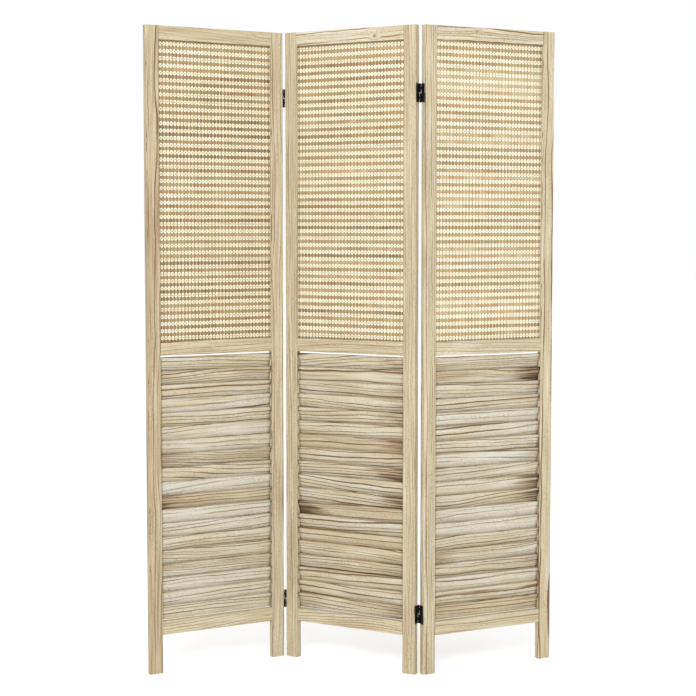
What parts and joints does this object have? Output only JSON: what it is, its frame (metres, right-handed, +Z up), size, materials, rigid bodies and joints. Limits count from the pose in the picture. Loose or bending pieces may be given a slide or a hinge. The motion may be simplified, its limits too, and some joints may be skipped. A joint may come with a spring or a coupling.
{
  "type": "folding room divider screen",
  "caption": "Folding room divider screen in pale wood, each panel with a woven mat above and fixed louvre slats below, joined by double-acting hinges.",
  "frame": {"origin": "on the floor at the middle of the footprint, with the screen standing in its zigzag", "axes": "+X along the screen from the left panel to the right one, -Y towards the front, +Z up"},
  "size_m": [1.0806, 0.2256, 1.7],
  "materials": {
    "frame_wood": "bare pale paulownia, matt, fine open grain",
    "slat_wood": "bare paulownia slats, lightly scorched and brushed, matt",
    "woven_reed": "peeled reed and brown reed strips in a plain weave, satin",
    "hinge_black": "satin black paint"
  },
  "bodies": {
    "middle_panel": {"middle_panel_left_stile": "frame_wood", "middle_panel_right_stile": "frame_wood", "middle_panel_top_rail": "frame_wood", "middle_panel_middle_rail": "frame_wood", "middle_panel_bottom_rail": "frame_wood", "middle_panel_woven_mat": "woven_reed", "middle_panel_louvres": "slat_wood", "left_fold_upper_hinge_right_leaf": "hinge_black", "left_fold_upper_hinge_upper_link": "hinge_black", "left_fold_upper_hinge_upper_front_pin": "hinge_black", "left_fold_upper_hinge_upper_back_pin": "hinge_black", "left_fold_lower_hinge_right_leaf": "hinge_black", "left_fold_lower_hinge_upper_link": "hinge_black", "left_fold_lower_hinge_upper_front_pin": "hinge_black", "left_fold_lower_hinge_upper_back_pin": "hinge_black", "right_fold_upper_hinge_left_leaf": "hinge_black", "right_fold_upper_hinge_upper_link": "hinge_black", "right_fold_upper_hinge_upper_front_pin": "hinge_black", "right_fold_upper_hinge_upper_back_pin": "hinge_black", "right_fold_lower_hinge_left_leaf": "hinge_black", "right_fold_lower_hinge_upper_link": "hinge_black", "right_fold_lower_hinge_upper_front_pin": "hinge_black", "right_fold_lower_hinge_upper_back_pin": "hinge_black"},
    "left_panel": {"left_panel_left_stile": "frame_wood", "left_panel_right_stile": "frame_wood", "left_panel_top_rail": "frame_wood", "left_panel_middle_rail": "frame_wood", "left_panel_bottom_rail": "frame_wood", "left_panel_woven_mat": "woven_reed", "left_panel_louvres": "slat_wood", "left_fold_upper_hinge_left_leaf": "hinge_black", "left_fold_upper_hinge_lower_link": "hinge_black", "left_fold_upper_hinge_lower_front_pin": "hinge_black", "left_fold_upper_hinge_lower_back_pin": "hinge_black", "left_fold_lower_hinge_left_leaf": "hinge_black", "left_fold_lower_hinge_lower_link": "hinge_black", "left_fold_lower_hinge_lower_front_pin": "hinge_black", "left_fold_lower_hinge_lower_back_pin": "hinge_black"},
    "right_panel": {"right_panel_left_stile": "frame_wood", "right_panel_right_stile": "frame_wood", "right_panel_top_rail": "frame_wood", "right_panel_middle_rail": "frame_wood", "right_panel_bottom_rail": "frame_wood", "right_panel_woven_mat": "woven_reed", "right_panel_louvres": "slat_wood", "right_fold_upper_hinge_right_leaf": "hinge_black", "right_fold_upper_hinge_lower_link": "hinge_black", "right_fold_upper_hinge_lower_front_pin": "hinge_black", "right_fold_upper_hinge_lower_back_pin": "hinge_black", "right_fold_lower_hinge_right_leaf": "hinge_black", "right_fold_lower_hinge_lower_link": "hinge_black", "right_fold_lower_hinge_lower_front_pin": "hinge_black", "right_fold_lower_hinge_lower_back_pin": "hinge_black"}
  },
  "joints": [
    {"name": "left_fold", "type": "hinge", "parent": "middle_panel", "child": "left_panel", "pos_m": [-0.18559, 0.09339, 0], "axis": [0, 0, 1], "range_deg": [-61, 119]},
    {"name": "right_fold", "type": "hinge", "parent": "middle_panel", "child": "right_panel", "pos_m": [0.17602, -0.09229, 0], "axis": [0, 0, 1], "range_deg": [-58, 122]}
  ]
}
